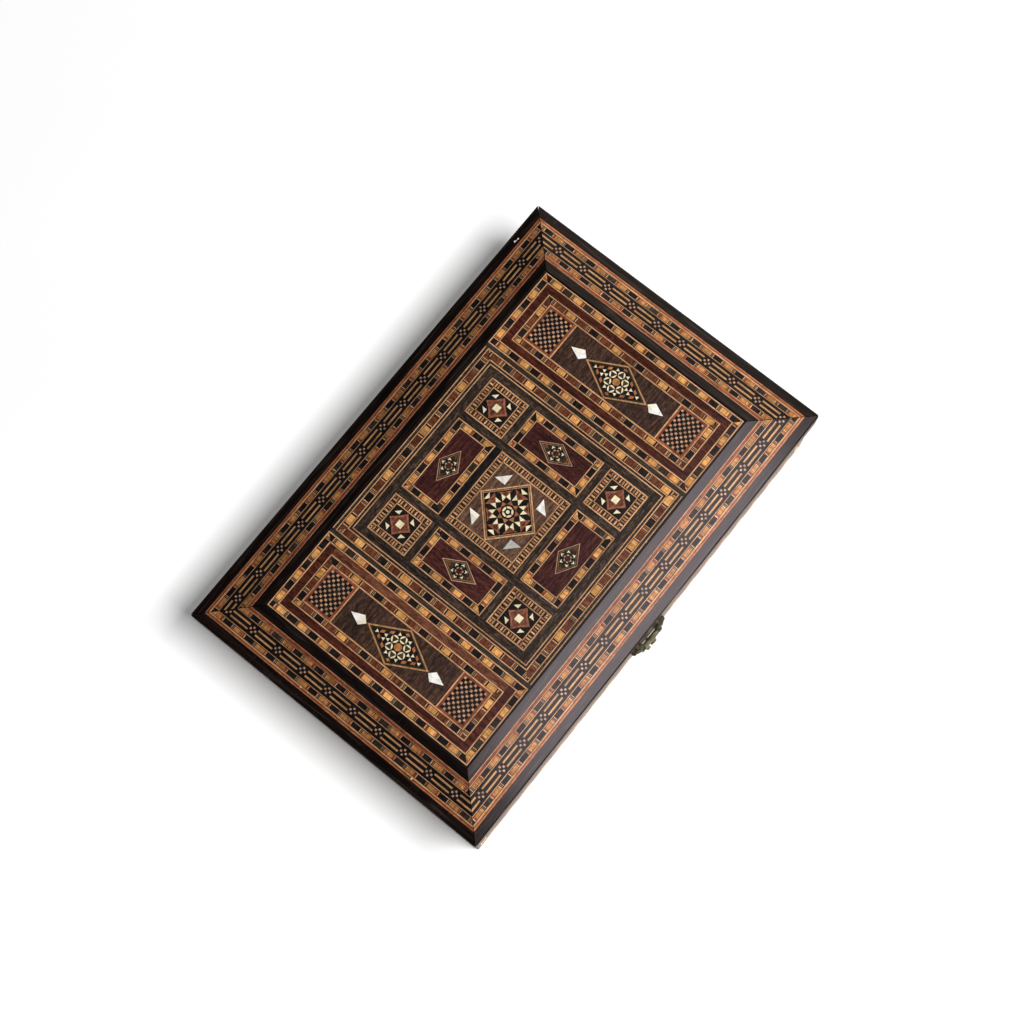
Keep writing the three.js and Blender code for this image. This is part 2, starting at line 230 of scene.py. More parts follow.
def finishWood(trees, shader, colour, streak, pores, rough):  # grime, blotches, wear and fine scratches
    place = trees.place()
    grime = trees.band(trees.spread(place, 55, 5.0), 0.42, 0.72)
    blotch = trees.spread(place, 620, 4.0, shift=(8, 3, 1), distortion=0.8)
    worn = trees.band(trees.spread(place, 190, 3.0, shift=(3, 1, 7)), 0.55, 0.75)
    scratch = trees.spread(place, (90, 2600, 900), 1.0, turn=(0, 0, 0.9), shift=(1, 4, 2))
    handled = trees.band(trees.spread(place, 40, 2.0, shift=(9, 9, 2)), 0.5, 0.62)
    scratch = trees.band(scratch, 0.7, 0.76) * handled
    colour = trees.scale(colour, 0.76 + blotch * 0.48 - grime * 0.2)
    colour = trees.mixColour(scratch * 0.3, colour, linear(150, 128, 108))
    bump = trees.add("ShaderNodeBump", {}, {"Strength": 0.35, "Distance": woodGrain["dent"],
                                            "Height": streak * 0.4 - pores - scratch})
    feed(trees, shader, Base_Color=colour, Roughness=rough + streak * 0.12 + worn * 0.12 - grime * 0.04,
         Normal=bump)


def tileMaterial(name):  # for sticks and tiles, whose grain attribute lies along each one
    wood = woods[name]
    material, trees, shader = newMaterial("veneer_" + name, {**varnish, "Coat Weight": wood["coat"]})
    grain = trees.add("ShaderNodeUVMap", {"uv_map": "grain"}, {})
    tone = trees.add("ShaderNodeAttribute", {"attribute_name": "tone"}, {}, 2)
    colour, streak, pores = woodColour(trees, grain, wood)
    colour = trees.scale(colour, 1 + (tone - 0.5) * wood["vary"])
    finishWood(trees, shader, colour, streak, pores, woodGrain["rough"] - (0.08 if name == "bone" else 0.0))
    return material


boardGrain = (260, 620, 620)  # longer and broader than in the small sticks, by length, width and thickness


def boardMaterial(name, wood, turn, rough):  # for solid boards, with the grain along X or Y
    material, trees, shader = newMaterial(name, {**varnish, "Coat Weight": wood["coat"]})
    turned = trees.add("ShaderNodeMapping", {}, {"Vector": trees.place(), "Rotation": (0, 0, turn)})
    turned = trees.add("ShaderNodeMapping", {}, {"Vector": turned, "Scale": boardGrain})
    colour, streak, pores = woodColour(trees, turned, wood)
    scuff = trees.band(trees.spread(turned, (0.12, 0.8, 0.8), 4.0, shift=(7, 2, 6), distortion=0.8), 0.52, 0.78)
    colour = trees.mixColour(scuff * wood["scuff"], colour, linear(104, 92, 84))
    finishWood(trees, shader, colour, streak, pores, rough)
    return material


def boards(name, wood, rough):  # one wood for the long and the short sides
    return {"long": boardMaterial(name + "_long", wood, 0, rough),
            "short": boardMaterial(name + "_short", wood, quarterTurn, rough)}


veneerMaterials = [tileMaterial(name) for name in woodOrder]
carcassWood = newWood((132, 112, 92), (100, 82, 66), (62, 48, 37), 0.5, coat=0.0, mottled=0.3)
rimWood = newWood((98, 78, 58), (70, 54, 40), (40, 30, 22), 0.5, coat=0.1, mottled=0.3)
mouldingWood = newWood((40, 24, 18), (18, 11, 8), (6, 4, 3), 0.6, coat=0.35, scuff=0.3)
paintTones = newWood((250, 250, 248), (240, 240, 238), (206, 206, 202), 0.2, coat=0.1)
carcass = boards("carcass", carcassWood, 0.75)
rim = boards("lid_rim", rimWood, 0.6)
darkWood = boards("dark_moulding", mouldingWood, 0.36)
whitePaint = boardMaterial("white_paint", paintTones, 0, 0.6)


def pearlMaterial(name, paintedShade):  # clouded shell in facets, with a faint play of tints; the second argument greys the whole piece as painted shade
    gloss = {"Specular IOR Level": 0.6, "Coat Weight": 0.3, "Coat Roughness": 0.1}
    material, trees, shader = newMaterial(name, gloss)
    place = trees.place()
    white = (255, 255, 252)
    cloud = trees.spread(place, (130, 100, 130), 3.0, distortion=1.6)
    colour = trees.ramp(cloud, [(0.26, (170, 164, 128)), (0.36, (226, 226, 206)), (0.5, white), (0.68, white),
                                (0.78, (216, 216, 204))])
    sheen = trees.spread(place, (420, 300, 420), 2.0, shift=(5, 2, 1), distortion=2.5)
    tint = trees.ramp(sheen, [(0.35, (220, 236, 226)), (0.5, (255, 255, 255)), (0.65, (255, 250, 244))])
    colour = trees.mixColour(0.7, colour, tint, "MULTIPLY")
    tone = trees.spread(place, 48, 2.0, shift=(1, 6, 3), distortion=0.8)
    colour = trees.mixColour(trees.band(tone, 0.52, 0.68) * 0.6, colour, linear(232, 220, 170))
    colour = trees.mixColour(trees.band(tone, 0.48, 0.36) * 0.55, colour, linear(190, 196, 190))
    facet = trees.add("ShaderNodeTexVoronoi", {}, {"Vector": place, "Scale": 260.0}, 1)
    shade = trees.add("ShaderNodeSeparateColor", {}, {"Color": facet})
    colour = trees.scale(colour, 0.86 + trees.band(shade, 0.15, 0.5, 0.0, 0.18))
    fissure = trees.band(trees.spread(place, (60, 900, 60), 2.0, turn=(0, 0, 0.5), shift=(2, 9, 4)), 0.66, 0.74)
    colour = trees.mixColour(fissure * 0.6, colour, linear(120, 124, 116))
    # painted shade: the whole piece is mixed towards grey by the second argument
    colour = trees.mixColour(paintedShade, colour, linear(160, 162, 158))
    feed(trees, shader, Base_Color=colour, Roughness=0.16 + cloud * 0.18)
    return material


def brassMaterial(name, tones):  # tones: tarnish, patina and worn metal
    material, trees, shader = newMaterial(name, {})
    place = trees.place()
    patina = trees.spread(place, 330, 5.0, distortion=0.6)
    speck = trees.spread(place, 1500, 3.0)
    colour = trees.ramp(patina * 0.75 + speck * 0.25, zip((0.36, 0.5, 0.64), tones))
    dull = trees.band(patina, 0.35, 0.6)
    bump = trees.add("ShaderNodeBump", {}, {"Strength": 0.3, "Distance": 0.05 * mm, "Height": speck})
    feed(trees, shader, Base_Color=colour, Roughness=0.62 - dull * 0.24, Metallic=0.4 + dull * 0.45,
         Normal=bump)
    return material


pearl = pearlMaterial("mother_of_pearl", 0.0)
paintedShadePearl = pearlMaterial("mother_of_pearl_painted_shade", 0.75)  # painted shade: one triangle is greyed where its shell reflects less light towards the camera
brass = {"plate": brassMaterial("tarnished_brass", [(34, 33, 26), (66, 63, 48), (118, 112, 84)]),
         "tongue": brassMaterial("worn_brass", [(74, 72, 54), (122, 118, 90), (172, 168, 134)])}
print("materials made:", len(bpy.data.materials))


# Sticks: a tree that sets a squared stick on every point, with its size, turn and wood from the point

grainApart = Vector((531.0, 917.0))  # how far the grain shifts from the darkest stick to the palest, mm


def stickTree():
    tree = bpy.data.node_groups.new("laySticks", "GeometryNodeTree")
    face = tree.interface
    face.new_socket("Points", in_out="INPUT", socket_type="NodeSocketGeometry")
    face.new_socket("Joint Gap", in_out="INPUT", socket_type="NodeSocketFloat")
    face.new_socket("Tone Seed", in_out="INPUT", socket_type="NodeSocketInt")
    face.new_socket("Sticks", in_out="OUTPUT", socket_type="NodeSocketGeometry")
    trees = Trees(tree)
    source = tree.nodes.new("NodeGroupInput")
    points, gap, seed = [Wire(trees, source.outputs[i]) for i in range(3)]

    def read(kind, name):
        return trees.add("GeometryNodeInputNamedAttribute", {"data_type": kind}, {"Name": name})

    gapEachWay = trees.add("ShaderNodeCombineXYZ", {}, {0: gap, 1: gap, 2: 0.0})
    size = trees.vectors("SUBTRACT", read("FLOAT_VECTOR", "size"), gapEachWay)
    turn = trees.add("ShaderNodeCombineXYZ", {}, {2: read("FLOAT", "turn")})
    facing = trees.add("FunctionNodeEulerToRotation", {}, {0: turn})
    cube = trees.add("GeometryNodeMeshCube", {}, {"Size": (1, 1, 1)})
    sticks = trees.add("GeometryNodeInstanceOnPoints", {}, {"Points": points, "Instance": cube,
                                                             "Rotation": facing, "Scale": size})
    tone = trees.add("FunctionNodeRandomValue", {"data_type": "FLOAT"}, {"Seed": seed}, 1)
    sticks = trees.add("GeometryNodeStoreNamedAttribute", {"data_type": "FLOAT", "domain": "INSTANCE"},
                       {"Geometry": sticks, "Name": "tone", "Value": tone})
    whole = trees.add("GeometryNodeRealizeInstances", {}, {"Geometry": sticks})
    inMillimetres = trees.scale(trees.add("GeometryNodeInputPosition"), 1 / mm)
    back = read("FLOAT", "grainTurn") * -1.0
    along = trees.add("ShaderNodeVectorRotate", {"rotation_type": "Z_AXIS"},
                      {"Vector": inMillimetres, "Angle": back})
    apart = trees.add("ShaderNodeCombineXYZ", {}, {0: grainApart.x, 1: grainApart.y})
    apart = trees.scale(apart, read("FLOAT", "tone"))
    grain = trees.vectors("ADD", along, apart)
    whole = trees.add("GeometryNodeStoreNamedAttribute", {"data_type": "FLOAT2", "domain": "CORNER"},
                      {"Geometry": whole, "Name": "grain", "Value": grain})
    for number, material in enumerate(veneerMaterials):
        same = trees.add("FunctionNodeCompare", {"data_type": "INT", "operation": "EQUAL"},
                         {2: read("INT", "wood"), 3: number})
        whole = trees.add("GeometryNodeSetMaterial", {}, {"Geometry": whole, "Selection": same,
                                                           "Material": material})
    sink = tree.nodes.new("NodeGroupOutput")
    tree.links.new(whole.socket, sink.inputs[0])
    return tree


laySticks = stickTree()
stickFit = {"jointGap": 0.09 * mm, "bed": 0.12, "uneven": 0.05, "odd": 0.22, "glue": 0.44,
            "mitre": 0.12}  # glue and mitre: dark seams, mm
lifts = {"ground": 0.17, "inner": 0.185, "field": 0.2, "row": 0.235, "line": 0.24, "motif": 0.225, "tile": 0.27,
         "top": 0.285}  # heights above the bed, mm
veneerThick = 0.32  # mm, from the bed to the top of the solid that a sheet takes the place of


def newObject(name, mesh):
    piece = bpy.data.objects.new(name, mesh)
    bpy.context.scene.collection.objects.link(piece)
    return piece


def circle(x, y, radius, sides=20, turn=0.0):
    return [(x + radius * math.cos(turn + 2 * math.pi * i / sides),
             y + radius * math.sin(turn + 2 * math.pi * i / sides)) for i in range(sides)]


def rectangle(x, y, halfX, halfY):
    return [(x - halfX, y - halfY), (x + halfX, y - halfY), (x + halfX, y + halfY), (x - halfX, y + halfY)]


def diamond(x, y, halfX, halfY):
    return [(x + halfX, y), (x, y + halfY), (x - halfX, y), (x, y - halfY)]


def clipped(ring, depth):  # the part of an outline where the depth isn't negative
    kept = []
    for point, after in zip(ring, ring[1:] + ring[:1]):
        here, there = depth(point), depth(after)
        if here >= 0:
            kept.append(point)
        if here * there < 0:
            kept.append(point.lerp(after, here / (here - there)))
    return kept


class Veneer:  # a sheet of sticks and tiles, drawn flat in millimetres, heights above its bed
    def __init__(self, name, seed):
        self.name = name
        self.seed = seed
        self.dice = random.Random(seed)
        self.sticks = []
        self.tiles = []

    def stick(self, x, y, sizeX, sizeY, wood, lift, turn=0.0):
        grainTurn = turn if sizeX >= sizeY else turn + quarterTurn
        self.sticks.append((x, y, sizeX, sizeY, lift, turn, grainTurn, woodOrder.index(wood)))

    def tile(self, outline, wood, lift, grain=0.0):
        self.tiles.append((outline, woodOrder.index(wood), lift, grain))

    def field(self, x, y, halfX, halfY, wood, lift, grain=None):
        turn = grain if grain is not None else (0.0 if halfX >= halfY else quarterTurn)
        self.tile(rectangle(x, y, halfX, halfY), wood, lift, turn)

    def line(self, start, end, width, wood, lift):
        run = Vector(end) - Vector(start)
        middle = (Vector(end) + Vector(start)) / 2
        self.stick(middle.x, middle.y, run.length, width, wood, lift, math.atan2(run.y, run.x))

    def frame(self, x, y, halfX, halfY, width, wood, lift):  # four lines inside a rectangle's edge
        for side in (-1, 1):
            self.stick(x, y + side * (halfY - width / 2), 2 * halfX, width, wood, lift)
            self.stick(x + side * (halfX - width / 2), y, width, 2 * (halfY - width), wood, lift)

    def row(self, start, end, width, pattern, lift, begin, inner=0):  # sticks side by side along a line
        phase, order, stretch = begin
        run = Vector(end) - Vector(start)
        if not inner:
            self.line(start, end, width, "ebony", lift - 0.03)
        pattern = [(wood, length * stretch) for wood, length in pattern[::order]]
        period = sum(length for wood, length in pattern)
        at = phase % period - period
        low = 0.0
        while at < run.length:
            for wood, length in pattern:
                at += length
                high = min(at + self.dice.uniform(-1, 1) * stickFit["uneven"] * length, run.length)
                if wood == "ebony" and length > 3 and self.dice.random() < stickFit["odd"]:
                    wood = "bogoak"
                if high - low > 0.15:
                    self.layInRow(start, run, low, high, width, wood, lift, inner)
                low = max(low, high)

    def layInRow(self, start, run, low, high, width, wood, lift, inner):
        way = run.normalized()  # inner: 1 or -1, the side that mitres cut
        turn = math.atan2(run.y, run.x)
        wide = width - stickFit["glue"]
        if not inner or (low > width and high < run.length - width):
            middle = Vector(start) + way * (low + high) / 2
            self.sticks.append((middle.x, middle.y, high - low, wide, lift, turn, turn + quarterTurn,
                                woodOrder.index(wood)))
            return
        seam = stickFit["mitre"]
        ring = [Vector((along, across)) for along, across in
                ((low, -wide / 2), (high, -wide / 2), (high, wide / 2), (low, wide / 2))]
        ring = clipped(ring, lambda point: point.x - width / 2 - inner * point.y - seam)
        ring = clipped(ring, lambda point: run.length - point.x - width / 2 - inner * point.y - seam)
        if len(ring) > 2:
            across = way.orthogonal()
            self.tile([Vector(start) + way * point.x + across * point.y for point in ring], wood, lift,
                      turn + quarterTurn)

    def rowFrame(self, x, y, halfX, halfY, width, pattern, lift, begins):  # begins: left, right, back, front
        inY = halfY - width / 2
        inX = halfX - width / 2
        self.frame(x, y, halfX, halfY, width, "ebony", lift - 0.03)
        for number, side in enumerate((-1, 1)):
            column = x + side * inX
            self.row((column, y + halfY), (column, y - halfY), width, pattern, lift, begins[number], -side)
            level = y - side * inY
            phase, order, stretch = begins[2 + number]
            begin = (phase + width, order, stretch)
            self.row((x - halfX, level), (x + halfX, level), width, pattern, lift, begin, side)

    def framed(self, x, y, halfX, halfY, widths, pattern, begins, heights=(lifts["line"], lifts["row"])):
        outer, row, inner = widths  # a row of blocks between two pale lines
        self.frame(x, y, halfX, halfY, outer, "maple", heights[0])
        self.rowFrame(x, y, halfX - outer, halfY - outer, row, pattern, heights[1], begins)
        self.frame(x, y, halfX - outer - row, halfY - outer - row, inner, "maple", heights[0])
        return outer + row + inner

    def facet(self, x, y, points, turn, wood, lift):  # a tile from (radius, degrees) pairs round a point
        spokes = [(radius, turn + math.radians(angle)) for radius, angle in points]
        outline = [(x + radius * math.cos(angle), y + radius * math.sin(angle)) for radius, angle in spokes]
        self.tile(outline, wood, lift)

    def rhombs(self, x, y, halfX, halfY, layers, lift):  # nested diamonds, each let into the last
        side = math.hypot(halfX, halfY)
        for number, (wood, inset) in enumerate(layers):
            part = 1 - inset * side / (halfX * halfY)
            outline = diamond(x, y, halfX * part, halfY * part)
            self.tile(outline, wood, lift + 0.01 * number, math.atan2(halfY, halfX))

    def build(self, place):  # place: gives the point in metres for a flat x, y and height
        count = len(self.sticks)
        points = bpy.data.meshes.new(self.name + "_points")
        points.vertices.add(count)
        bed = stickFit["bed"]
        spots = []
        sizes = []
        for x, y, sizeX, sizeY, lift in [stick[:5] for stick in self.sticks]:
            spots += [x * mm, y * mm, (lift - bed) / 2 * mm]
            sizes += [sizeX * mm, sizeY * mm, (lift + bed) * mm]
        points.vertices.foreach_set("co", spots)
        points.attributes.new("size", "FLOAT_VECTOR", "POINT").data.foreach_set("vector", sizes)
        for name, kind, column in (("turn", "FLOAT", 5), ("grainTurn", "FLOAT", 6), ("wood", "INT", 7)):
            data = points.attributes.new(name, kind, "POINT").data
            data.foreach_set("value", [stick[column] for stick in self.sticks])
        carrier = newObject(self.name + "_points", points)
        modifier = carrier.modifiers.new("laySticks", "NODES")
        modifier.node_group = laySticks
        sockets = {item.name: item.identifier for item in laySticks.interface.items_tree}
        modifier[sockets["Joint Gap"]] = stickFit["jointGap"]
        modifier[sockets["Tone Seed"]] = self.seed
        graph = bpy.context.evaluated_depsgraph_get()
        laid = bpy.data.meshes.new_from_object(carrier.evaluated_get(graph))
        bpy.data.objects.remove(carrier)
        shape = bmesh.new()
        shape.from_mesh(laid)
        slots = {material.name: number for number, material in enumerate(veneerMaterials)}
        order = [slots[material.name] if material else 0 for material in laid.materials]
        for face in shape.faces:
            face.material_index = order[face.material_index]
        self.addTiles(shape)
        bpy.data.meshes.remove(laid)
        for vertex in shape.verts:
            vertex.co = place(*(vertex.co / mm))
        return shape

    def addTiles(self, shape):
        grain = shape.loops.layers.uv["grain"]
        tone = shape.verts.layers.float["tone"]
        bed = -stickFit["bed"] * mm
        for outline, wood, lift, turn in self.tiles:
            area = sum(a[0] * b[1] - b[0] * a[1] for a, b in zip(outline, outline[1:] + outline[:1]))
            ring = outline if area > 0 else outline[::-1]
            shade = self.dice.random()
            low = [shape.verts.new((x * mm, y * mm, bed)) for x, y in ring]
            high = [shape.verts.new((x * mm, y * mm, lift * mm)) for x, y in ring]
            for vertex in low + high:
                vertex[tone] = shade
            faces = [shape.faces.new(high), shape.faces.new(low[::-1])]
            for i in range(len(ring)):
                j = (i + 1) % len(ring)
                faces.append(shape.faces.new((low[i], low[j], high[j], high[i])))
            spin = Matrix.Rotation(-turn, 2)
            apart = grainApart * shade
            for face in faces:
                face.material_index = wood
                for loop in face.loops:
                    loop[grain].uv = spin @ Vector(loop.vert.co[:2]) / mm + apart


def addBlock(shape, corners, wood):  # a closed six-sided board from its eight corners, low four then high four
    points = [shape.verts.new(corner) for corner in corners]
    for ring in ((3, 2, 1, 0), (4, 5, 6, 7), (0, 1, 5, 4), (1, 2, 6, 5), (2, 3, 7, 6), (3, 0, 4, 7)):
        face = shape.faces.new([points[i] for i in ring])
        face.material_index = woodOrder.index(wood)


def finishPiece(name, shape, body, materials, nodes=()):
    shape.normal_update()
    mesh = bpy.data.meshes.new(name)
    shape.to_mesh(mesh)
    shape.free()
    for material in materials:
        mesh.materials.append(material)
    piece = newObject(name, mesh)
    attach(piece, body)
    if nodes:
        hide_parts(*nodes)
    print(name, len(mesh.polygons), "faces")
    return piece


# Patterns of sticks, wood and length in millimetres

lightSticks = [("maple", 0.5), ("olive", 0.45), ("ash", 0.38), ("bogoak", 0.45), ("maple", 0.46)]
redSticks = [("maple", 0.5), ("padauk", 1.2)]
paleThenBlack = [("maple", 0.5), ("ebony", 0.75)]
twoWood = [("lemonwood", 4.6), *lightSticks, ("ebony", 5.4), *redSticks]
# the border band's blocks are honey, darker than the panel's lemonwood as painted shade on the slopes
bandWood = [("honey", 4.7), *lightSticks, ("ebony", 5.25), *redSticks]
threeWood = [("lemonwood", 5.2), *paleThenBlack[::-1], ("cherry", 6.2), *lightSticks, ("ebony", 4.8),
             *lightSticks, ("cherry", 6.2), *paleThenBlack]
fineSticks = [("maple", 0.95), ("ebony", 0.6), ("limewood", 0.85), ("ebony", 0.45), ("olive", 0.5),
              ("ebony", 0.4), ("maple", 0.95), ("ebony", 0.65), ("russet", 0.55), ("ash", 0.5), ("ebony", 0.6)]
fineBegins = [(0.4, 1, 1), (3.1, 1, 1), (5.0, 1, 1), (2.2, 1, 1)]
fieldBegins = {  # where each row's pattern starts, its order and its stretch
    "left": [(3.8, -1, 0.955), (8.53, 1, 1), (9.6, 1, 1), (3.4, 1, 1.025)],
    "right": [(1.1, -1, 1.025), (5.4, -1, 0.985), (12.27, -1, 1), (7.0, -1, 0.965)],
    "front": [(0.6, 1, 0.94), (11.0, -1, 1.01), (1.0, -1, 1), (2.0, 1, 0.96)],
    "back": [(11.4, 1, 0.945), (9.25, -1, 0.955), (0.46, 1, 1.015), (3.4, 1, 0.98)],
}
endBegins = {
    "outer left": [(4.2, 1, 0.995), (10.8, -1, 0.975), (6.4, -1, 0.97), (12.4, 1, 0.97)],
    "inner left": [(3.8, -1, 0.99), (14.8, 1, 0.99), (19.4, -1, 1.005), (15.6, 1, 0.992)],
    "outer right": [(5.2, 1, 0.995), (10.6, -1, 0.975), (1.6, 1, 0.965), (13.6, 1, 0.98)],
    "inner right": [(27.8, 1, 0.99), (18.0, -1, 1.025), (14.8, 1, 1.008), (22.0, -1, 0.99)],
}
middleBegins = [(16.0, -1, 1.005), (26.0, 1, 1), (7.2, -1, 1.01), (26.4, -1, 1.005)]


# Motifs of the panel

sixPetals = {"hub": 2.0, "ringRadius": 4.55, "ring": 1.95, "outer": 6.5, "point": 1.12,
             "tips": [(-1.2, 8.55, 1), (1.2, 8.55, 1), (0, 13.4, -1)],  # place, and which way each points
             "slips": [(-1.6, 11.0), (1.6, 11.0), (-4.0, 7.0), (4.0, 7.0)], "slipHalf": 0.8,
             "slipLean": (0.54, 0.96), "endAt": 7.9, "endHalf": (0.85, 1.35)}


def sixRosette(sheet, x, y):  # in the long diamonds of the end panels
    top = lifts["tile"]
    ring, point = sixPetals["ring"], sixPetals["point"]
    sheet.tile(circle(x, y, sixPetals["hub"]), "honey", top)
    for number in range(6):
        turn = math.radians(60 * number)
        ringX = x + sixPetals["ringRadius"] * math.cos(turn)
        ringY = y + sixPetals["ringRadius"] * math.sin(turn)
        sheet.tile(circle(ringX, ringY, ring), "bone", top)
        sheet.tile(circle(ringX, ringY, ring * 1.05, 3, turn), "ebony", top + 0.01)
        sheet.tile(circle(ringX, ringY, ring * 0.78, 3, turn), "walnut", lifts["top"])
        between = turn + math.radians(30)
        pointX = x + sixPetals["outer"] * math.cos(between)
        pointY = y + sixPetals["outer"] * math.sin(between)
        sheet.tile(circle(pointX, pointY, point, 3, between), "bone", top)
    leanX, leanY = sixPetals["slipLean"]
    for side in (-1, 1):
        for offX, offY, points in sixPetals["tips"]:
            turn = points * side * quarterTurn
            sheet.tile(circle(x + offX, y + side * offY, point, 3, turn), "bone", top)
        for offX, offY in sixPetals["slips"]:
            lean = Vector((math.copysign(leanX, offX), -leanY * side))
            flat = Vector((math.copysign(sixPetals["slipHalf"], offX), 0))
            middle = Vector((x + offX, y + side * offY))
            sheet.tile([middle + lean + flat, middle + lean - flat, middle - lean - flat, middle - lean + flat],
                       "apricot", top)
        sheet.tile(diamond(x + side * sixPetals["endAt"], y, *sixPetals["endHalf"]), "apricot", top)


eightPoints = {  # radius and degrees of each corner
    "core": [(4.1, 0), (6.0, 22.5), (4.1, 45)],
    "spear": [(4.1, 0), (6.15, 17.4), (7.75, 0), (6.15, -17.4)],
    "gap": [(7.0, 22.5), (9.6, 15.2), (12.1, 22.5), (9.6, 29.8)],
    "tip": [(11.6, 0), (13.8, 9.4), (13.8, -9.4)],
    "petal": [(1.75, 0), (2.1, 30), (2.9, 31), (2.95, 10), (2.95, -10), (2.9, -31), (2.1, -30)],
}
starReach = (12.4, 11.6)  # to the wings of every other point


def eightStar(sheet, x, y):  # in the middle of the lid
    top, high = lifts["tile"], lifts["top"]
    for number in range(8):
        turn = math.radians(45 * number)
        sheet.facet(x, y, eightPoints["core"], turn, "apricot", top)
        sheet.facet(x, y, eightPoints["spear"], turn, "ebony", top)
        for lean in (-1, 1):
            sheet.facet(x, y, [(6.2, 19.5 * lean), (7.85, 0.8 * lean), (9.9, 12.5 * lean)], turn, "bone", top)
        sheet.facet(x, y, eightPoints["gap"], turn, "ebony", high)
        far = starReach[number % 2]
        wing = [(7.9, 0), (9.9, 12.5), (far, 19.5), (far - 1.0, 0), (far, -19.5), (9.9, -12.5)]
        sheet.facet(x, y, wing, turn, "russet", top)
        sheet.facet(x, y, [(8.3, 0), (10.3, 9), (far - 1.3, 0), (10.3, -9)], turn, "cherry", top + 0.01)
        if number % 2 == 0:
            sheet.facet(x, y, eightPoints["tip"], turn, "bone", high)
    sheet.tile(circle(x, y, 3.45, 28), "ebony", top)
    for number in range(5):
        sheet.facet(x, y, eightPoints["petal"], math.radians(90 + 72 * number), "bone", high)
    sheet.tile(circle(x, y, 0.95, 16), "bone", high)


def sixStar(sheet, x, y, turn):  # in the small diamonds of the long fields
    top, high = lifts["tile"], lifts["top"]
    for number in range(6):
        angle = turn + math.radians(60 * number)
        for lean in (-1, 1):
            sheet.facet(x, y, [(3.35, 30), (3.0, 30 - 21 * lean), (4.35, 30)], angle, "bone", top)
        sheet.facet(x, y, [(2.0, 0), (2.9, 17), (4.5, 0), (2.9, -17)], angle, "ebony", high)
        sheet.facet(x, y, [(1.5, 30), (1.7, 4), (2.3, 30), (1.7, 56)], angle, "sycamore", top)
    sheet.tile(circle(x, y, 1.3, 6, turn), "plumwood", high + 0.005)
    for side in (0, math.pi):
        sheet.facet(x, y, [(4.9, 0), (6.3, 11), (8.0, 0), (6.3, -11)], turn + side, "cherry", top)


cornerStar = {"frame": (0.75, 2.9, 0.6), "bone": (3.7, 3.6), "boneTip": 6.4, "point": 6.8, "hollow": 4.45,
              "hub": 1.75}


def cornerSquare(sheet, x, y, halfX, halfY):  # a four-pointed star in a frame of fine sticks
    inset = sheet.framed(x, y, halfX, halfY, cornerStar["frame"], fineSticks, fineBegins)
    sheet.field(x, y, halfX - inset, halfY - inset, "ebony", lifts["field"])
    top = lifts["tile"]
    nearX, nearY = cornerStar["bone"]
    far = cornerStar["boneTip"]
    for sideX in (-1, 1):
        for sideY in (-1, 1):
            sheet.tile([(x + nearX * sideX, y + far * sideY), (x + nearX * sideX, y + nearY * sideY),
                        (x + far * sideX, y + nearY * sideY)], "bone", top)
    star = []
    for number in range(4):
        star += [(cornerStar["point"], 90 * number), (cornerStar["hollow"], 90 * number + 45)]
    sheet.facet(x, y, star, 0, "russet", top)
    sheet.facet(x, y, [(radius * 0.78, angle) for radius, angle in star], 0, "brownwood", top + 0.01)
    sheet.field(x, y, cornerStar["hub"], cornerStar["hub"], "bone", lifts["top"])


redField = {"frame": (0.65, 3.0, 0.6), "flat": (10.2, 6.2), "upright": (6.2, 11.0)}


def longField(sheet, x, y, halfX, halfY, begins):  # dark red field with a small diamond, in a row of blocks
    inset = sheet.framed(x, y, halfX, halfY, redField["frame"], twoWood, begins)
    sheet.field(x, y, halfX - inset, halfY - inset, "plumwood", lifts["field"])
    flat = halfX > halfY
    wide, tall = redField["flat" if flat else "upright"]
    sheet.rhombs(x, y, wide, tall, [("sycamore", 0), ("bogoak", 0.4), ("olive", 0.75), ("ash", 1.0)],
                 lifts["motif"])
    sheet.rhombs(x, y, wide, tall, [("bogoak", 1.2)], lifts["motif"] + 0.035)
    sixStar(sheet, x, y, 0 if flat else quarterTurn)


centreFrame = (0.7, 3.1, 0.7)  # line, row of fine sticks, line


def centreSquare(sheet, x, y, halfX, halfY):
    inset = sheet.framed(x, y, halfX, halfY, centreFrame, fineSticks, fineBegins)
    fieldX = halfX - inset
    fieldY = halfY - inset
    sheet.field(x, y, fieldX, fieldY, "umber", lifts["field"])
    sheet.rhombs(x, y, fieldX, fieldY, [("maple", 0), ("olive", 0.65), ("ash", 1.0), ("ebony", 1.5)],
                 lifts["motif"])
    eightStar(sheet, x, y)


checks = {"border": 1.1, "columns": 12, "levels": 9, "dot": (0.78, 0.84)}


def checkPanel(sheet, x, y, halfX, halfY):
    inX = halfX - checks["border"]
    inY = halfY - checks["border"]
    sheet.field(x, y, halfX, halfY, "padauk", lifts["field"])
    sheet.field(x, y, inX, inY, "ebony", lifts["line"] - 0.015)
    cellX = 2 * inX / checks["columns"]
    cellY = 2 * inY / checks["levels"]
    dotX, dotY = checks["dot"]
    for column in range(checks["columns"]):
        for level in range(checks["levels"]):
            if (column + level) % 2:
                wood = sheet.dice.choice(("sycamore", "sycamore", "maple"))
                sheet.stick(x - inX + (column + 0.5) * cellX, y - inY + (level + 0.5) * cellY, cellX * dotX,
                            cellY * dotY, wood, lifts["line"])


endEdges = {"outer": (0.7, 3.1, 0.7), "red": 4.0, "inner": (0.7, 3.1, 0.8), "check": 8.35, "line": 0.8,
            "diamond": 19.85, "level": -0.62}  # the diamond lies a little towards the front


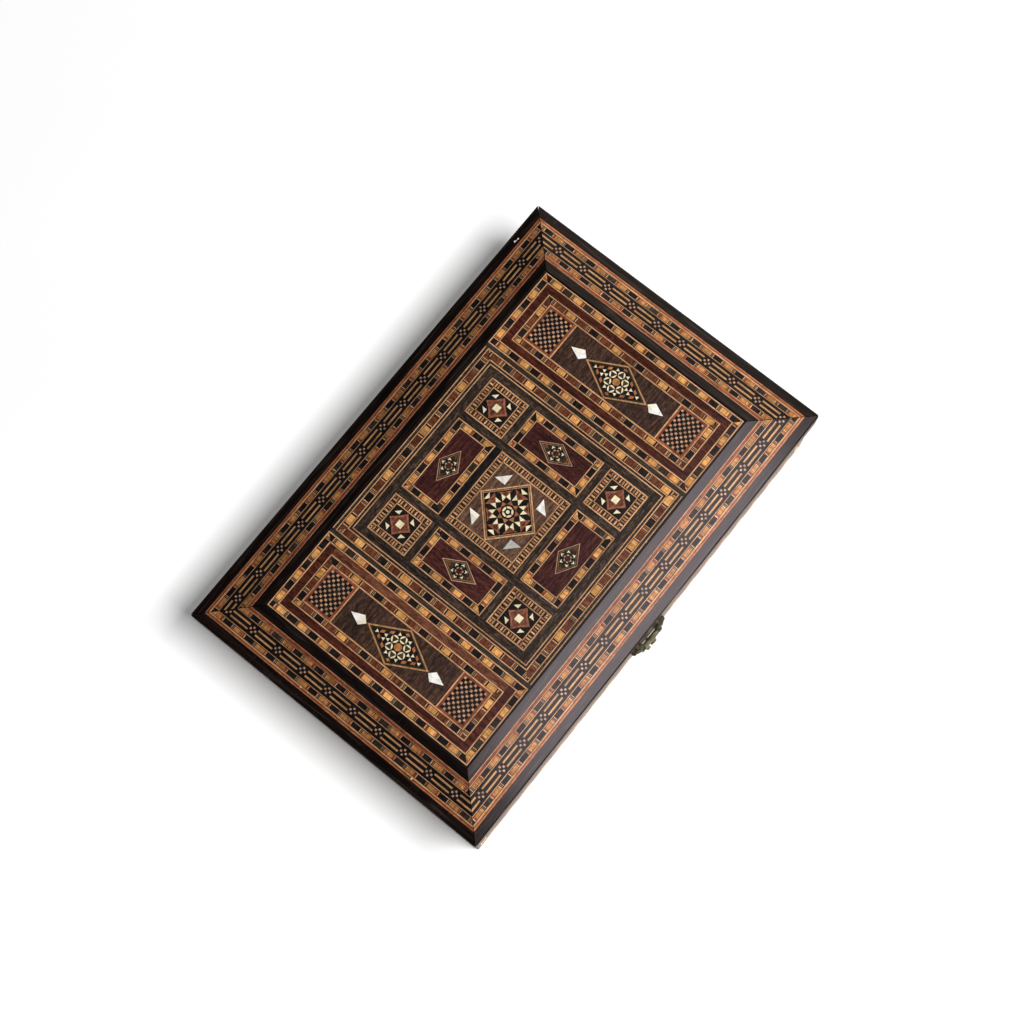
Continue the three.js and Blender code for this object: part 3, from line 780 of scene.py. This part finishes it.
def endPanel(sheet, x, halfX, halfY, end):
    red, check, line, level = (endEdges[key] for key in ("red", "check", "line", "level"))
    sheet.field(x, 0, halfX, halfY, "rosewood", lifts["ground"])
    inset = red + sheet.framed(x, 0, halfX, halfY, endEdges["outer"], twoWood, endBegins["outer " + end])
    if end == "left":  # one strip is of a paler wood
        sheet.stick(x + halfX - inset + red / 2, 0, red - 0.1, 2 * (halfY - inset), "brownwood", lifts["inner"])
    inset += sheet.framed(x, 0, halfX - inset, halfY - inset, endEdges["inner"], threeWood,
                          endBegins["inner " + end])
    fieldX = halfX - inset
    fieldY = halfY - inset
    for side in (-1, 1):
        checkPanel(sheet, x, side * (fieldY - check), fieldX, check)
        edge = side * (fieldY - 2 * check - line / 2)
        sheet.line((x - fieldX, edge), (x + fieldX, edge), line, "maple", lifts["line"])
    sheet.field(x, 0, fieldX, fieldY - 2 * check - line, "walnut", lifts["inner"], 0.0)
    sheet.rhombs(x, level, fieldX - 0.25, endEdges["diamond"],
                 [("limewood", 0), ("olive", 0.75), ("bogoak", 1.2), ("ebony", 1.7)], lifts["motif"])
    sixRosette(sheet, x, level)


middleEdges = {"fillet": 2.3, "topLine": 0.55, "topRow": 2.2, "row": (0.6, 3.6, 0.6), "black": 1.1, "line": 0.6}
middleGrid = {"far": (50.4, 50.6), "mid": (27.4, 26.4), "near": (23.1, 22.3)}  # edges of the squares, x and y


def layBars(sheet, inX, inY):  # dark bars between the squares, each with its own grain
    (farX, farY), (midX, midY), (nearX, nearY) = middleGrid.values()
    high, middle, low = (lifts["field"] - drop for drop in (0, 0.004, 0.008))
    barX, barY = (midX + nearX) / 2, (midY + nearY) / 2
    for side in (-1, 1):
        sheet.stick(side * (farX + inX) / 2, 0, inX - farX - 0.1, 2 * farY, "smoked", low)
        sheet.stick(0, side * (farY + inY) / 2, 2 * inX, inY - farY - 0.1, "smoked", middle)
        for sideX in (-1, 1):
            sheet.stick(sideX * (farX + midX) / 2, side * barY, farX - midX, midY - nearY - 0.1, "smoked",
                        middle)
        wood = "ebony" if side > 0 else "smoked"
        sheet.stick(0, side * barY, 2 * nearX, midY - nearY - 0.2, wood, high)
        sheet.stick(side * barX, 0, midX - nearX - 0.2, 2 * farY, "smoked", low)


def middleBlock(sheet, halfX, halfY):
    line = middleEdges["line"]
    sheet.field(0, 0, halfX, halfY, "bogoak", lifts["ground"])
    inX = halfX - middleEdges["fillet"]
    for side in (-1, 1):
        level = side * (halfY - middleEdges["topLine"])
        sheet.line((-inX, level), (inX, level), line, "maple", lifts["line"])
    inY = halfY - middleEdges["topRow"]
    inset = middleEdges["black"] + sheet.framed(0, 0, inX, inY, middleEdges["row"], threeWood, middleBegins)
    sheet.frame(0, 0, inX - inset, inY - inset, line, "maple", lifts["line"])
    inX -= inset + line
    inY -= inset + line
    sheet.field(0, 0, inX, inY, "smoked", lifts["inner"])
    layBars(sheet, inX, inY)
    (farX, farY), (midX, midY), (nearX, nearY) = middleGrid.values()
    cornerX, cornerHalfX = (farX + midX) / 2, (farX - midX) / 2
    cornerY, cornerHalfY = (farY + midY) / 2, (farY - midY) / 2
    for side in (-1, 1):
        longField(sheet, side * cornerX, 0, cornerHalfX, nearY, fieldBegins["left" if side < 0 else "right"])
        longField(sheet, 0, side * cornerY, nearX, cornerHalfY, fieldBegins["front" if side < 0 else "back"])
        for sideY in (-1, 1):
            cornerSquare(sheet, side * cornerX, sideY * cornerY, cornerHalfX, cornerHalfY)
    centreSquare(sheet, 0, 0, nearX, nearY)


chips = [(4.6, 0.9, 0.1), (7.4, 1.6, -0.12), (9.1, 0.7, 0.2), (12.2, 2.3, 0.05), (15.0, 1.1, -0.15),
         (18.3, 2.6, 0.08), (20.9, 0.8, 0.25), (23.4, 1.5, -0.06), (31.5, 0.8, 0.1)]  # x, length and turn
endWidth = 48.4


def lidPanel():
    low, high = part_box("lid_panel")
    halfX, halfY = high[0] / mm, high[1] / mm
    bedHeight = high[2] - veneerThick * mm
    sheet = Veneer("lid_panel_marquetry", 11)
    sheet.field(0, 0, halfX - 0.1, halfY - 0.1, "ebony", 0.15)
    for side in (-1, 1):
        endPanel(sheet, side * (halfX - endWidth / 2), endWidth / 2, halfY, "left" if side < 0 else "right")
    middleBlock(sheet, halfX - endWidth, halfY)
    for x, length, turn in chips:  # along the front edge
        sheet.stick(x, 0.25 - halfY, length, sheet.dice.uniform(0.2, 0.4), "bone", lifts["top"], turn)
    shape = sheet.build(lambda x, y, z: Vector((x * mm, y * mm, bedHeight + z * mm)))
    (x0, y0, z0), (x1, y1, z1) = low, (high[0], high[1], bedHeight)
    addBlock(shape, [(x0, y0, z0), (x1, y0, z0), (x1, y1, z0), (x0, y1, z0),
                     (x0, y0, z1), (x1, y0, z1), (x1, y1, z1), (x0, y1, z1)], "walnut")
    return finishPiece("lid_panel_marquetry", shape, "lid", veneerMaterials, ["lid_panel"])


# The sloping border: the sheet is drawn along one edge, cut to its mitres, then laid on the slope

sideTurns = {"front": 0, "right": 1, "back": 2, "left": 3}
lidLow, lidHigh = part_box("lid_rail_front")[0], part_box("lid_rail_back")[1]
lidLength = 2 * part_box("lid_rail_right")[1][0] / mm
lidWidth = 2 * lidHigh[1] / mm
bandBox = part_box("lid_band_front")
bandOuter = (bandBox[0][1] - lidLow[1]) / mm
bandInner = (bandBox[1][1] - lidLow[1]) / mm
bandHigh = bandBox[1][2] / mm
bandLow = lidHigh[2] / mm
borderBand = {"line": 0.42, "red": 1.4, "row": 2.55, "pale": 0.4, "bar": 1.0, "barLength": 11.2,
              "barAside": 1.35, "spacing": 16.25, "dot": 1.1, "dotStep": 1.45, "mitreGap": 0.24,
              "outerPale": 0.8, "outerRed": 0.55, "speck": 0.45}
bandBegins = {  # outer row, inner row, and the middle of one group of dots
    "front": [(11.6, 1, 1), (13.2, -1, 1), 11.6],
    "right": [(13.0, -1, 1), (3.9, 1, 1), 2.6],
    "back": [(3.7, -1, 1), (3.7, 1, 1), 4.8],
    "left": [(13.6, -1, 1), (9.6, -1, 1), 3.0],
}
bandSpecks = {"left": [(-25.1, 6.9), (46.7, 6.5)]}  # spots of white paint: along the side, and inset


def sideOf(name):
    return (lidLength, lidWidth / 2) if name in ("front", "back") else (lidWidth, lidLength / 2)


def bandSheet(name):
    half = sideOf(name)[0] / 2
    sheet = Veneer("lid_band_marquetry_" + name, 31 + sideTurns[name])
    middle = (bandInner - bandOuter) / 2
    outerBegin, innerBegin, centre = bandBegins[name]
    line, red, row, pale = (borderBand[key] for key in ("line", "red", "row", "pale"))
    outerPale, outerRed = borderBand["outerPale"], borderBand["outerRed"]

    def along(level, thick, wood, lift):
        sheet.line((-half, bandOuter + level), (half, bandOuter + level), thick, wood, lift)

    sheet.field(0, bandOuter + middle, half, middle - 0.02, "ebony", lifts["field"])
    for side in (-1, 1):
        level = side * (middle - 0.1)

        def step(thick):
            nonlocal level
            level -= side * thick
            return middle + level + side * thick / 2

        stripes = [(line, "maple"), (red, "padauk"), (line, "maple")]
        if side < 0:  # the outer edge has broader pale lines
            rest = 2 * line + red - outerPale - outerRed
            stripes = [(outerPale, "apricot"), (outerRed, "padauk"), (rest, "maple")]
        for thick, wood in stripes:
            along(step(thick), thick, wood, lifts["line"])
        rowLevel = bandOuter + step(row)
        begin = outerBegin if side < 0 else innerBegin
        sheet.row((-half, rowLevel), (half, rowLevel), row, bandWood, lifts["row"], begin)
        along(step(pale), pale, "maple", lifts["line"])
    spacing, dot, dotStep = (borderBand[key] for key in ("spacing", "dot", "dotStep"))
    groups = int(half / spacing) + 1
    y = bandOuter + middle
    for number in range(-groups, groups + 1):
        x = centre + number * spacing
        for offX, offY in ((-1, 0), (1, 0), (0, -0.95), (0, 0.95)):
            sheet.stick(x + offX * dotStep, y + offY * dotStep, dot, dot, "sycamore", lifts["motif"])
    for number in range(-groups - 1, groups + 1):
        x = centre + (number + 0.5) * spacing
        for side in (-1, 1):
            sheet.stick(x, y + side * borderBand["barAside"], borderBand["barLength"], borderBand["bar"],
                        "limewood", lifts["motif"])
    for x, inset in bandSpecks.get(name, ()):
        sheet.tile(circle(x, inset, borderBand["speck"], 8), "bone", lifts["top"])
    return sheet


def cutMitres(shape, span, gap):
    for side in (-1, 1):
        geometry = shape.verts[:] + shape.edges[:] + shape.faces[:]
        corner = (side * (span / 2 - gap) * mm, 0, 0)
        cut = bmesh.ops.bisect_plane(shape, geom=geometry, dist=1e-7, plane_co=corner, plane_no=(side, 1, 0),
                                     clear_outer=True)
        edges = [item for item in cut["geom_cut"] if isinstance(item, bmesh.types.BMEdge)]
        bmesh.ops.holes_fill(shape, edges=edges, sides=0)


def layOnSlope(shape, name):
    reach = sideOf(name)[1]
    slope = (bandHigh - bandLow) / (bandInner - bandOuter)
    turn = Matrix.Rotation(quarterTurn * sideTurns[name], 3, "Z")
    for vertex in shape.verts:
        x, inset, lift = vertex.co / mm
        height = bandLow + (inset - bandOuter) * slope - veneerThick + lift
        vertex.co = turn @ Vector((x, inset - reach, height)) * mm


def lidBand(name):
    span = sideOf(name)[0]
    shape = bandSheet(name).build(lambda x, y, z: Vector((x, y, z)) * mm)
    depth = (bandLow - bandBox[0][2] / mm - veneerThick) * mm
    y0, y1 = bandOuter * mm, bandInner * mm
    x0, x1 = -span / 2 * mm, span / 2 * mm
    drop = -(bandHigh - bandLow) * mm - depth
    addBlock(shape, [(x0, y0, -depth), (x1, y0, -depth), (x1, y1, drop), (x0, y1, drop),
                     (x0, y0, 0), (x1, y0, 0), (x1, y1, 0), (x0, y1, 0)], "walnut")
    cutMitres(shape, span, borderBand["mitreGap"])
    layOnSlope(shape, name)
    return finishPiece("lid_band_marquetry_" + name, shape, "lid", veneerMaterials,
                       ["lid_band_" + name])


# Rails and mouldings: the solids' section, finer, with worn edges

railShape = {"arcSteps": 12, "lengths": 90, "wear": 0.12, "waves": 7, "drop": 0.8, "nose": 0.9, "corner": 1.6,
             "cornerSteps": 8, "quirk": 1.1, "quirkDepth": 0.7}  # quirk: a step along the inner moulding


def railSection():  # a shallow slope with a rounded outer edge
    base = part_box("lid_rail_front")[0][2] / mm
    nose = railShape["nose"]
    edge = bandLow - railShape["drop"]
    arris = edge - nose * railShape["drop"] / (bandOuter - nose)
    arc = []
    for number in range(railShape["arcSteps"] + 1):
        part = number / railShape["arcSteps"]
        height = (1 - part) ** 2 * (arris - nose) + 2 * part * (1 - part) * arris + part ** 2 * edge
        arc.append((part ** 2 * nose, height))
    return [(0, base)] + arc + [(bandOuter, bandLow), (bandOuter, base)]


def mouldingSection():
    low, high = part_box("lid_moulding_front")
    base, crest = low[2] / mm, high[2] / mm
    inner = (high[1] - lidLow[1]) / mm
    step = inner - railShape["quirk"]
    sunk = crest - railShape["quirkDepth"]
    return [(bandInner, base), (bandInner, bandHigh), (step, crest), (step, sunk), (inner, sunk), (inner, base)]


def clearOfCorner(part, inset, span, gap, corner):  # how far in a point lies at the rounded end of a strip
    reached = inset
    for number in range(14):  # comes nearer with each step
        past = abs(part) * (span / 2 - reached - gap) - (span / 2 - corner)
        arc = corner - math.sqrt(corner ** 2 - min(max(past, 0.0), corner) ** 2)
        reached = (reached + max(inset, arc)) / 2
    return reached


def sweptStrip(section, name, gap, seed, corner):
    span, reach = sideOf(name)
    turn = Matrix.Rotation(quarterTurn * sideTurns[name], 3, "Z")
    dice = random.Random(seed)
    waves = [(dice.uniform(0.05, 0.6), dice.uniform(0, 6.28), dice.uniform(0.3, 1.0))
             for number in range(railShape["waves"])]
    shape = bmesh.new()
    rings = []
    steps, lengths = railShape["cornerSteps"], railShape["lengths"]
    ends = [1 - step * 3 * railShape["corner"] / span / steps for step in range(steps)]
    inside = [(2 * step / lengths - 1) * 0.98 for step in range(lengths + 1)]
    for part in [-end for end in ends] + inside + ends[::-1]:
        ring = []
        for inset, height in section:
            inset = clearOfCorner(part, inset, span, gap, corner) if corner else inset
            x = part * (span / 2 - inset - gap)
            wave = sum(size * math.sin(rate * x + phase) for rate, phase, size in waves) / 4
            dent = railShape["wear"] * max(0.0, wave) ** 2
            ring.append(shape.verts.new(turn @ Vector((x, inset - reach, height - dent * 0.4)) * mm))
        rings.append(ring)
    count = len(section)
    for first, second in zip(rings, rings[1:]):
        for i in range(count):
            j = (i + 1) % count
            face = shape.faces.new((first[i], first[j], second[j], second[i]))
            face.smooth = True
    shape.faces.new(rings[0][::-1])
    shape.faces.new(rings[-1])
    bmesh.ops.recalc_face_normals(shape, faces=shape.faces[:])
    return shape


paintSpecks = [(116.2, 88.7, 0.6), (117.2, 88.5, 0.3), (118.4, 88.3, 0.5)]  # on the back rail: x, y, radius


def addPaint(shape):  # flat drops of white paint
    slope = railShape["drop"] / (bandOuter - railShape["nose"])
    for x, y, radius in paintSpecks:
        height = bandLow - slope * (y - lidHigh[1] / mm + bandOuter)
        ring = circle(x, y, radius, 10, 0.3)
        low = [shape.verts.new(Vector((a, b, height - 0.2)) * mm) for a, b in ring]
        high = [shape.verts.new(Vector((a, b, height + 0.06)) * mm) for a, b in ring]
        faces = [shape.faces.new(high), shape.faces.new(low[::-1])]
        faces += [shape.faces.new((low[i - 1], low[i], high[i], high[i - 1])) for i in range(len(ring))]
        for face in faces:
            face.material_index = 1


def lidMouldings():
    for name, turns in sideTurns.items():
        wood = darkWood["long" if turns % 2 == 0 else "short"]
        for part, section in (("rail", railSection()), ("moulding", mouldingSection())):
            corner = railShape["corner"] if part == "rail" else 0.0
            shape = sweptStrip(section, name, borderBand["mitreGap"], 60 + turns, corner)
            if part == "rail" and name == "back":
                addPaint(shape)
            piece = finishPiece("dark_" + part + "_" + name, shape, "lid", [wood, whitePaint],
                                ["lid_" + part + "_" + name])
            piece.data.set_sharp_from_angle(angle=math.radians(38))


# Plainer sides: a walnut face framed by lines and one row of blocks

sidePattern = {"inset": 2.6, "frame": (0.6, 3.0, 0.6), "heights": (0.1, 0.1),
               "begins": [(2.0, 1, 1), (6.0, 1, 1), (1.0, 1, 1), (4.0, 1, 1)],
               "spots": {"front": (-60, 60), "back": (-70, 0, 70)}, "outer": (22, 12.5), "inner": (8, 5.2),
               "eye": 1.7}


def sideVeneer(name):
    wallLow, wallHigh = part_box("wall_" + name)
    turns = sideTurns[name]
    along, across = (0, 1) if turns % 2 == 0 else (1, 0)
    half = wallHigh[along] / mm
    reach = max(abs(wallLow[across]), abs(wallHigh[across])) / mm
    middle = wallHigh[2] / mm / 2
    inset = sidePattern["inset"]
    sheet = Veneer("side_veneer_" + name, 71 + turns)
    sheet.field(0, middle, half - 0.05, middle - 0.05, "walnut", 0.06)
    sheet.framed(0, middle, half - inset, middle - inset, sidePattern["frame"], twoWood, sidePattern["begins"],
                 sidePattern["heights"])
    for spot in sidePattern["spots"].get(name, (0,)):
        sheet.rhombs(spot, middle, *sidePattern["outer"],
                     [("maple", 0), ("olive", 0.5), ("maple", 0.9), ("rosewood", 1.3)], 0.08)
        sheet.rhombs(spot, middle, *sidePattern["inner"], [("maple", 0), ("ebony", 0.5)], 0.14)
        sheet.tile(circle(spot, middle, sidePattern["eye"], 4), "bone", 0.2)
    turn = Matrix.Rotation(quarterTurn * turns, 3, "Z")
    shape = sheet.build(lambda x, y, z: turn @ Vector((x, -reach - z, y)) * mm)
    return finishPiece("side_veneer_" + name, shape, "box", veneerMaterials)


def dressSolids():
    for node in frame["nodes"]:
        piece = bpy.data.objects.get(node)
        if piece is None:
            continue
        short = node.endswith(("_left", "_right"))
        if node.startswith("pearl"):
            material = paintedShadePearl if node == "pearl_triangle_left_front" else pearl
        elif node.startswith(("hinge", "clasp")):
            material = brass["tongue" if node in ("clasp_tongue", "clasp_pin") else "plate"]
        else:
            wood = rim if node.startswith("lid_rim") else carcass
            material = wood["short" if short else "long"]
        piece.data.materials.clear()
        piece.data.materials.append(material)


# Camera, floor and light

cameraView = {"azimuth": -48.41, "elevation": 77.05, "roll": -2.88, "distance": 976.2, "aside": 2.13,
              "lens": 68.06}


def setCamera():
    azimuth, elevation, roll = (math.radians(cameraView[key]) for key in ("azimuth", "elevation", "roll"))
    back = Vector((math.sin(azimuth) * math.cos(elevation), -math.cos(azimuth) * math.cos(elevation),
                   math.sin(elevation)))
    right = Vector((math.cos(azimuth), math.sin(azimuth), 0))
    up = back.cross(right)
    across = math.cos(roll) * right + math.sin(roll) * up
    upright = math.cos(roll) * up - math.sin(roll) * right
    aim = Vector((0, 0, cadBox[1][2]))
    place = aim + (back * cameraView["distance"] + across * cameraView["aside"]) * mm
    data = bpy.data.cameras.new("photo_camera")
    data.lens = cameraView["lens"]
    data.sensor_width = 36
    data.clip_start = 0.01
    camera = bpy.data.objects.new("photo_camera", data)
    bpy.context.scene.collection.objects.link(camera)
    turn = Matrix((across, upright, back)).transposed().to_4x4()
    camera.matrix_world = Matrix.Translation(place) @ turn
    bpy.context.scene.camera = camera


studio = {"floorHalf": 4.0, "floorGlow": 0.22, "world": 0.05}
softboxes = {  # onto: what each panel of light falls on
    "shade": {"place": (0.59, -2.05, 4.8), "aim": (0.59, -2.05, 0), "wide": 1.8, "deep": 1.5, "radiance": 35.0,
              "tint": (1, 1, 1), "onto": "floor"},
    "key": {"place": (0.22, -0.51, 1.2), "aim": (0.22, -0.51, 0), "wide": 0.5, "deep": 0.36, "radiance": 11.0,
            "tint": (1, 0.88, 0.94), "onto": "box"},
    "sheen": {"place": (0.22, -0.15, 1.2), "aim": (0.22, -0.15, 0), "wide": 0.5, "deep": 0.36, "radiance": 3.0,
              "tint": (1, 0.93, 0.98), "onto": "box"},
    "edge": {"place": (0.96, 0.2, 1.2), "aim": (0.1, 0, 0.06), "wide": 0.5, "deep": 0.5, "radiance": 1.1,
             "tint": (1, 0.86, 0.76), "onto": "box"},
    "window": {"place": (0.58, -1.33, 0.35), "aim": (0, 0, 0.06), "wide": 0.8, "deep": 0.4, "radiance": 60.0,
               "tint": (1, 0.99, 0.94), "onto": "box", "glossy": False},
}


def addSoftbox(name, box):  # a flat panel of light
    data = bpy.data.lights.new(name + "_softbox", "AREA")
    data.shape = "RECTANGLE"
    data.size = box["wide"]
    data.size_y = box["deep"]
    data.energy = math.pi * box["wide"] * box["deep"] * box["radiance"]
    data.color = box["tint"]
    light = bpy.data.objects.new(name + "_softbox", data)
    light.location = box["place"]
    light.visible_glossy = box.get("glossy", True)
    light.rotation_euler = (Vector(box["aim"]) - Vector(box["place"])).to_track_quat("-Z", "Y").to_euler()
    bpy.context.scene.collection.objects.link(light)


def shareLight():  # the floor has its own light, so that its white stays even
    groups = {name: bpy.data.collections.new("lit_" + name) for name in ("box", "floor")}
    for piece in bpy.data.objects:
        if piece.type == "MESH":
            groups["floor" if piece.name == "floor" else "box"].objects.link(piece)
    for name, box in softboxes.items():
        bpy.data.objects[name + "_softbox"].light_linking.receiver_collection = groups[box["onto"]]


def setStage():
    half = studio["floorHalf"]
    shape = bmesh.new()
    shape.faces.new([shape.verts.new((x, y, cadBox[0][2])) for x, y in rectangle(0, 0, half, half)])
    mesh = bpy.data.meshes.new("floor")
    shape.to_mesh(mesh)
    shape.free()
    floor = newObject("floor", mesh)
    material, trees, shader = newMaterial("pale_floor", {"Roughness": 0.9, "Specular IOR Level": 0.1,
                                                          "Emission Color": (1, 1, 1, 1),
                                                          "Emission Strength": studio["floorGlow"]})
    paper = trees.spread(trees.place(), 3, 2.0)
    tones = [(0.3, (0.88, 0.88, 0.88, 1)), (0.7, (0.92, 0.92, 0.92, 1))]
    feed(trees, shader, Base_Color=trees.add("ShaderNodeValToRGB", {"stops": tones}, {"Fac": paper}))
    mesh.materials.append(material)
    world = bpy.data.worlds.new("studio")
    world.use_nodes = True
    world.node_tree.nodes["Background"].inputs["Strength"].default_value = studio["world"]
    world.node_tree.nodes["Background"].inputs["Color"].default_value = (1, 1, 1, 1)
    bpy.context.scene.world = world
    for name, box in softboxes.items():
        addSoftbox(name, box)
    bpy.context.scene.view_settings.view_transform = "Standard"


setCamera()
setStage()
print("camera, floor and light set")
dressSolids()
lidPanel()
for side in sideTurns:
    lidBand(side)
    sideVeneer(side)
lidMouldings()
shareLight()
print("pieces dressed")
